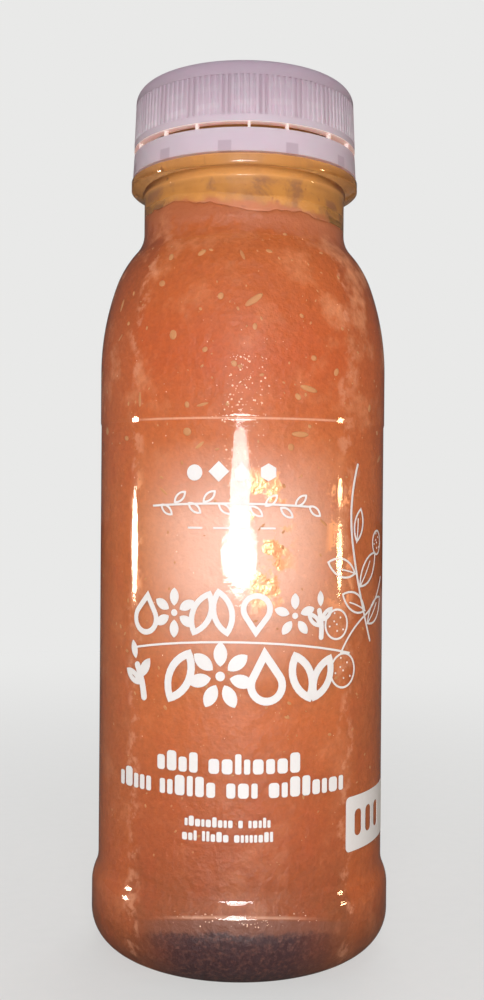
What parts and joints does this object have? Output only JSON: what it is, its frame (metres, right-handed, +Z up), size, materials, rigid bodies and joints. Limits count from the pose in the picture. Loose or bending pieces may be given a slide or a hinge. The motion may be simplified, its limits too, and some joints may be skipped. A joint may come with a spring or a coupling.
{
  "type": "bottle of mixed fruit juice",
  "caption": "Round clear plastic bottle filled with pulpy mixed fruit juice, with a froth layer in its neck and a ribbed tamper-evident screw cap.",
  "frame": {"origin": "middle of the base, on the plane that the bottle stands on", "axes": "+Z up along the bottle's axis, the printed front faces -Y, +X to the right seen from the front"},
  "size_m": [0.055, 0.055, 0.1575],
  "materials": {
    "clear_pet": "clear blow-moulded plastic with a glossy skin",
    "fruit_juice": "opaque orange-red juice with fine pulp",
    "juice_froth": "yellow-orange froth and pulp film",
    "natural_hdpe": "translucent injection-moulded plastic, satin",
    "white_print": "white screen-printed ink"
  },
  "bodies": {
    "root": {"bottle": "clear_pet", "juice": "fruit_juice", "froth": "juice_froth", "screw_cap": "natural_hdpe"}
  },
  "joints": []
}
